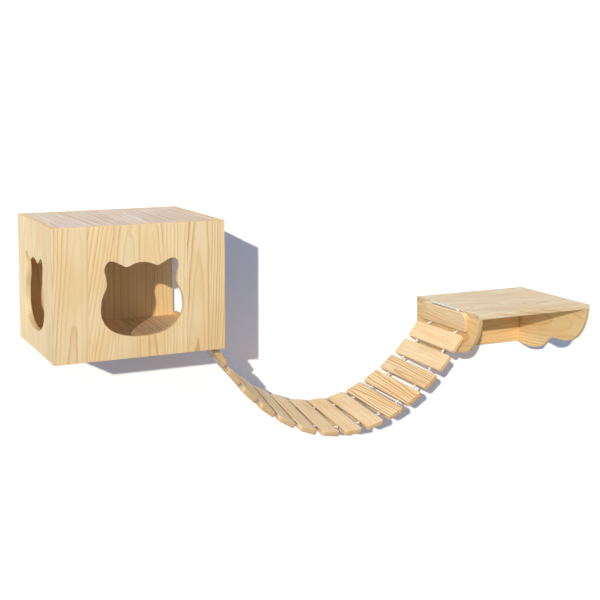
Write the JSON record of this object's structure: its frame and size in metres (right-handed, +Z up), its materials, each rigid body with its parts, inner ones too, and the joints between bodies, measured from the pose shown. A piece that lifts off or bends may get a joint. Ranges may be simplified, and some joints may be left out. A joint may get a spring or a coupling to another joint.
{
  "type": "wall-mounted cat house with slat bridge and shelf",
  "caption": "Pine cat house for the wall with cat-head openings, joined by a hanging slat bridge on a white rope to a wall shelf with wavy side boards.",
  "frame": {"origin": "middle of the house's back face, which lies on the wall", "axes": "+X to the right along the wall from the house to the shelf, +Y into the wall, +Z up"},
  "size_m": [1.48, 0.34, 0.5739],
  "materials": {
    "panel_pine": "sanded, unpainted, edge-glued staves",
    "inner_pine": "sanded, unpainted",
    "slat_pine": "sanded, unpainted, eased edges",
    "shelf_pine": "sanded, unpainted",
    "beech": "turned, unpainted",
    "rope": "laid white cord with melted ends",
    "screw": "zinc plated"
  },
  "bodies": {
    "wall_set": {"house_front_panel": "panel_pine", "house_left_panel": "panel_pine", "house_right_panel": "panel_pine", "house_back_panel": "inner_pine", "house_top_panel": "inner_pine", "house_floor_panel": "inner_pine", "shelf_top_board": "shelf_pine", "shelf_left_side": "shelf_pine", "shelf_right_side": "shelf_pine", "shelf_back_rail": "shelf_pine", "dowel_front_left_low": "beech", "dowel_back_left_low": "beech", "dowel_front_left_high": "beech", "dowel_back_left_high": "beech", "dowel_top_left_front": "beech", "dowel_floor_left_front": "beech", "dowel_top_left_rear": "beech", "dowel_floor_left_rear": "beech", "dowel_front_right_low": "beech", "dowel_back_right_low": "beech", "dowel_front_right_high": "beech", "dowel_back_right_high": "beech", "dowel_top_right_front": "beech", "dowel_floor_right_front": "beech", "dowel_top_right_rear": "beech", "dowel_floor_right_rear": "beech", "dowel_shelf_left_front": "beech", "dowel_shelf_left_rear": "beech", "dowel_rail_left": "beech", "dowel_shelf_right_front": "beech", "dowel_shelf_right_rear": "beech", "dowel_rail_right": "beech", "dowel_rail_top_left": "beech", "dowel_rail_top_right": "beech", "anchor_slat_house": "slat_pine", "anchor_slat_shelf": "slat_pine", "rope": "rope", "anchor_screw_house_front": "screw", "anchor_screw_shelf_front": "screw", "anchor_screw_house_rear": "screw", "anchor_screw_shelf_rear": "screw"},
    "slat_01": {"slat_01": "slat_pine"},
    "slat_02": {"slat_02": "slat_pine"},
    "slat_03": {"slat_03": "slat_pine"},
    "slat_04": {"slat_04": "slat_pine"},
    "slat_05": {"slat_05": "slat_pine"},
    "slat_06": {"slat_06": "slat_pine"},
    "slat_07": {"slat_07": "slat_pine"},
    "slat_08": {"slat_08": "slat_pine"},
    "slat_09": {"slat_09": "slat_pine"},
    "slat_10": {"slat_10": "slat_pine"},
    "slat_11": {"slat_11": "slat_pine"},
    "slat_12": {"slat_12": "slat_pine"},
    "slat_13": {"slat_13": "slat_pine"},
    "slat_14": {"slat_14": "slat_pine"}
  },
  "joints": [
    {"name": "slat_01_tilt", "type": "hinge", "parent": "wall_set", "child": "slat_01", "pos_m": [0.208, -0.1565, -0.16], "axis": [0, 1, 0], "range_deg": [-8, 8], "deforming": ["rope"]},
    {"name": "slat_02_tilt", "type": "hinge", "parent": "slat_01", "child": "slat_02", "pos_m": [0.24365, -0.1565, -0.21046], "axis": [0, 1, 0], "range_deg": [-1.5, 1.5]},
    {"name": "slat_03_tilt", "type": "hinge", "parent": "slat_02", "child": "slat_03", "pos_m": [0.28302, -0.1565, -0.25808], "axis": [0, 1, 0], "range_deg": [-2.7, 2.7]},
    {"name": "slat_04_tilt", "type": "hinge", "parent": "slat_03", "child": "slat_04", "pos_m": [0.32664, -0.1565, -0.30183], "axis": [0, 1, 0], "range_deg": [-3.3, 3.3]},
    {"name": "slat_05_tilt", "type": "hinge", "parent": "slat_04", "child": "slat_05", "pos_m": [0.37497, -0.1565, -0.34032], "axis": [0, 1, 0], "range_deg": [-3.3, 3.3]},
    {"name": "slat_06_tilt", "type": "hinge", "parent": "slat_05", "child": "slat_06", "pos_m": [0.42818, -0.1565, -0.37173], "axis": [0, 1, 0], "range_deg": [-2.7, 2.7]},
    {"name": "slat_07_tilt", "type": "hinge", "parent": "slat_06", "child": "slat_07", "pos_m": [0.48586, -0.1565, -0.39387], "axis": [0, 1, 0], "range_deg": [-1.6, 1.6]},
    {"name": "slat_14_tilt", "type": "hinge", "parent": "wall_set", "child": "slat_14", "pos_m": [0.9046, -0.1565, -0.1966], "axis": [0, 1, 0], "range_deg": [-7.8, 7.8]},
    {"name": "slat_13_tilt", "type": "hinge", "parent": "slat_14", "child": "slat_13", "pos_m": [0.86632, -0.1565, -0.2451], "axis": [0, 1, 0], "range_deg": [-1.5, 1.5]},
    {"name": "slat_12_tilt", "type": "hinge", "parent": "slat_13", "child": "slat_12", "pos_m": [0.82394, -0.1565, -0.29005], "axis": [0, 1, 0], "range_deg": [-2.6, 2.6]},
    {"name": "slat_11_tilt", "type": "hinge", "parent": "slat_12", "child": "slat_11", "pos_m": [0.77696, -0.1565, -0.33018], "axis": [0, 1, 0], "range_deg": [-3.2, 3.2]},
    {"name": "slat_10_tilt", "type": "hinge", "parent": "slat_11", "child": "slat_10", "pos_m": [0.72511, -0.1565, -0.36378], "axis": [0, 1, 0], "range_deg": [-3.2, 3.2]},
    {"name": "slat_09_tilt", "type": "hinge", "parent": "slat_10", "child": "slat_09", "pos_m": [0.66859, -0.1565, -0.38874], "axis": [0, 1, 0], "range_deg": [-2.6, 2.6]},
    {"name": "slat_08_tilt", "type": "hinge", "parent": "slat_09", "child": "slat_08", "pos_m": [0.60845, -0.1565, -0.40288], "axis": [0, 1, 0], "range_deg": [-1.5, 1.5]}
  ],
  "couplings": [
    {"joint": "slat_02_tilt", "follows": "slat_01_tilt", "ratio": -0.1737},
    {"joint": "slat_03_tilt", "follows": "slat_01_tilt", "ratio": -0.3131},
    {"joint": "slat_04_tilt", "follows": "slat_01_tilt", "ratio": -0.3909},
    {"joint": "slat_05_tilt", "follows": "slat_01_tilt", "ratio": -0.3916},
    {"joint": "slat_06_tilt", "follows": "slat_01_tilt", "ratio": -0.3152},
    {"joint": "slat_07_tilt", "follows": "slat_01_tilt", "ratio": -0.1771},
    {"joint": "slat_14_tilt", "follows": "slat_01_tilt", "ratio": 0.9603},
    {"joint": "slat_13_tilt", "follows": "slat_01_tilt", "ratio": -0.1717},
    {"joint": "slat_12_tilt", "follows": "slat_01_tilt", "ratio": -0.3093},
    {"joint": "slat_11_tilt", "follows": "slat_01_tilt", "ratio": -0.3853},
    {"joint": "slat_10_tilt", "follows": "slat_01_tilt", "ratio": -0.3846},
    {"joint": "slat_09_tilt", "follows": "slat_01_tilt", "ratio": -0.3072},
    {"joint": "slat_08_tilt", "follows": "slat_01_tilt", "ratio": -0.1683}
  ]
}
